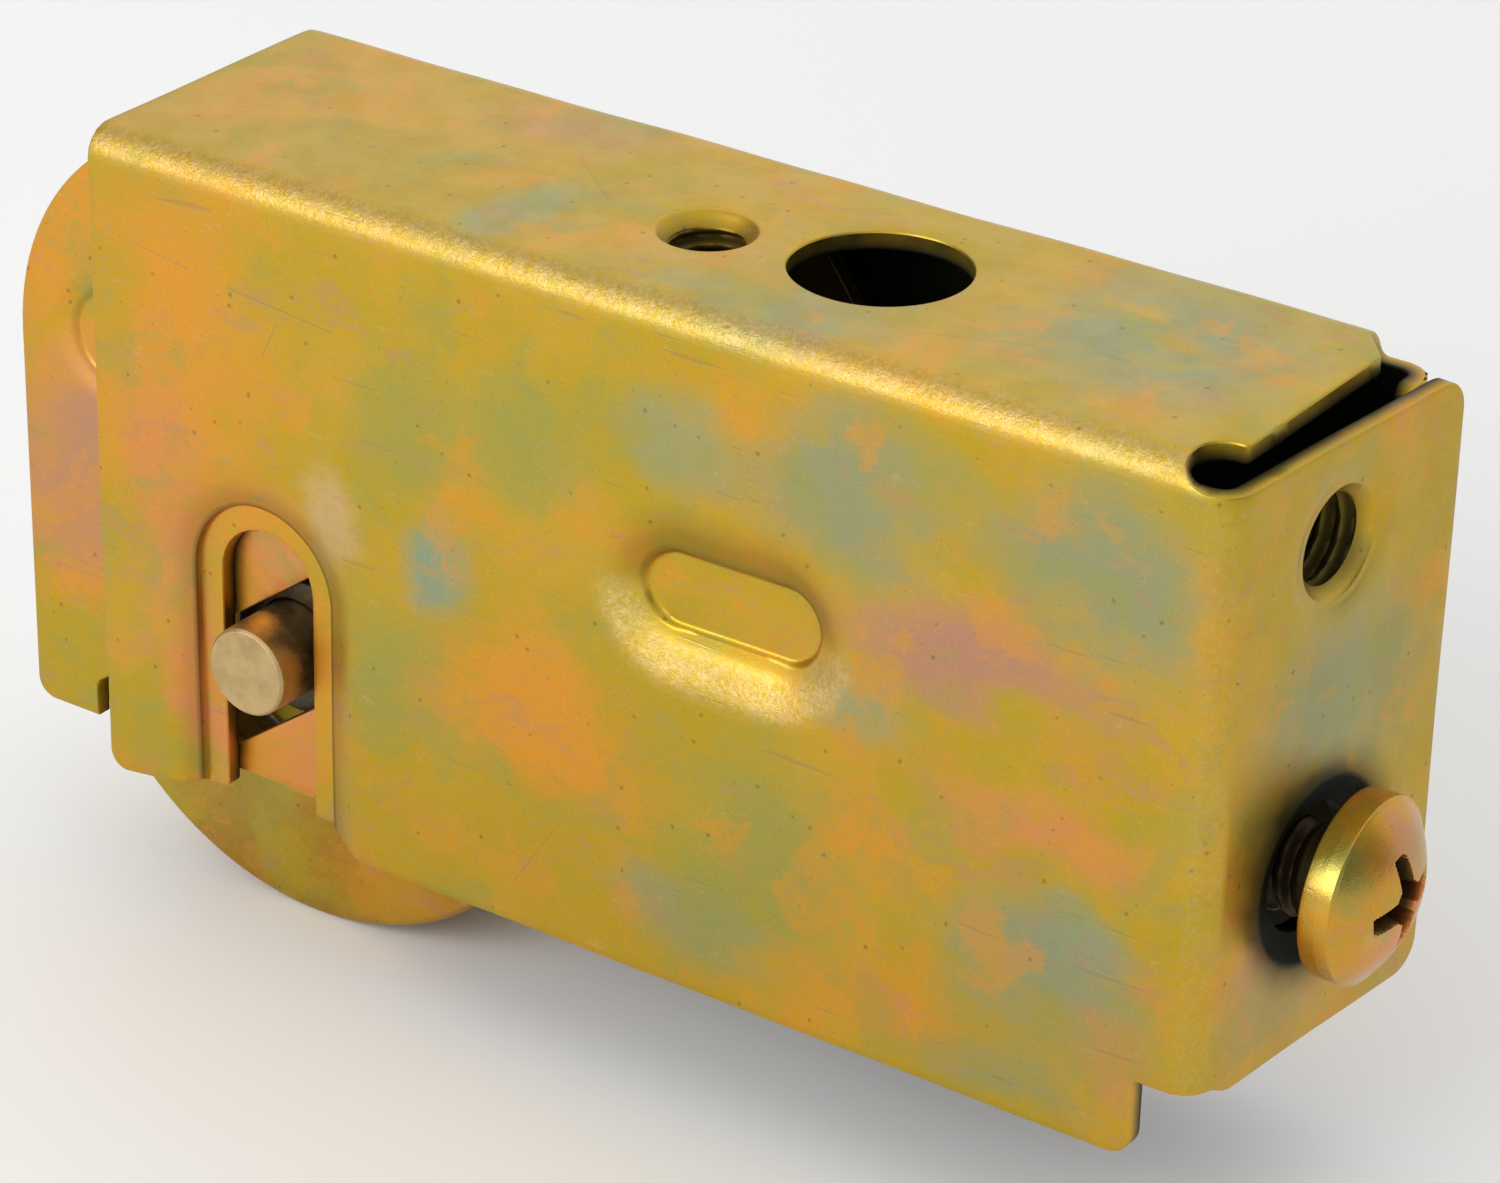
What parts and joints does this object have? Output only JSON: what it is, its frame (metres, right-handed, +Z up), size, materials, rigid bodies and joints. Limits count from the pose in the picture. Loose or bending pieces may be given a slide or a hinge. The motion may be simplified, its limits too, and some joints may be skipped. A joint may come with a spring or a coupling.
{
  "type": "sliding door roller",
  "caption": "Folded sheet-steel roller housing with a ball-bearing wheel that an end screw raises and lowers through a wedge-slotted slider.",
  "frame": {"origin": "on the housing's top face, at mid-width, straight above the wheel's axle", "axes": "+X along the housing towards the adjusting screw; +Y across it, -Y being the side the end flange is folded from; +Z up, out of the top face"},
  "size_m": [0.0947, 0.025, 0.0527],
  "materials": {
    "zinc_sheet": "yellow zinc plate, satin, iridescent",
    "zinc_screw": "yellow zinc plate, semi-bright",
    "zinc_wheel": "yellow zinc plate, satin",
    "axle_steel": "bare steel with a thin tan passivation",
    "bearing_steel": "bright hardened steel"
  },
  "bodies": {
    "housing": {"housing": "zinc_sheet"},
    "adjusting_screw": {"adjusting_screw": "zinc_screw"},
    "slider": {"slider": "zinc_sheet"},
    "axle": {"axle": "axle_steel", "inner_race": "bearing_steel", "spacer_front": "axle_steel", "spacer_back": "axle_steel"},
    "ball_ring": {"ball_cage": "bearing_steel", "ball_01": "bearing_steel", "ball_02": "bearing_steel", "ball_03": "bearing_steel", "ball_04": "bearing_steel", "ball_05": "bearing_steel", "ball_06": "bearing_steel", "ball_07": "bearing_steel", "ball_08": "bearing_steel", "ball_09": "bearing_steel", "ball_10": "bearing_steel"},
    "wheel": {"wheel_shell_front": "zinc_wheel", "wheel_shell_back": "zinc_wheel", "outer_race_front": "bearing_steel", "outer_race_back": "bearing_steel", "dust_shield_front": "zinc_wheel", "dust_shield_back": "zinc_wheel"}
  },
  "joints": [
    {"name": "slider_slide", "type": "slide", "parent": "housing", "child": "slider", "axis": [1, 0, 0], "range_m": [-0.0073, 0.008]},
    {"name": "adjusting_screw_turn", "type": "hinge", "parent": "housing", "child": "adjusting_screw", "pos_m": [0.07, 0, -0.0288], "axis": [-1, 0, 0], "range_deg": [-2074.29, 2272.72]},
    {"name": "axle_drop", "type": "slide", "parent": "housing", "child": "axle", "axis": [0, 0, -1], "range_m": [-0.0054, 0.00591]},
    {"name": "wheel_spin", "type": "hinge", "parent": "axle", "child": "wheel", "pos_m": [0, 0, -0.03275], "axis": [0, 1, 0], "continuous": true},
    {"name": "ball_ring_spin", "type": "hinge", "parent": "axle", "child": "ball_ring", "pos_m": [0, 0, -0.03275], "axis": [0, 1, 0], "continuous": true}
  ],
  "couplings": [
    {"joint": "adjusting_screw_turn", "follows": "slider_slide", "rad_per_m": 4947.4},
    {"joint": "axle_drop", "follows": "slider_slide", "ratio": 0.72654},
    {"joint": "ball_ring_spin", "follows": "wheel_spin", "ratio": 0.63405}
  ]
}
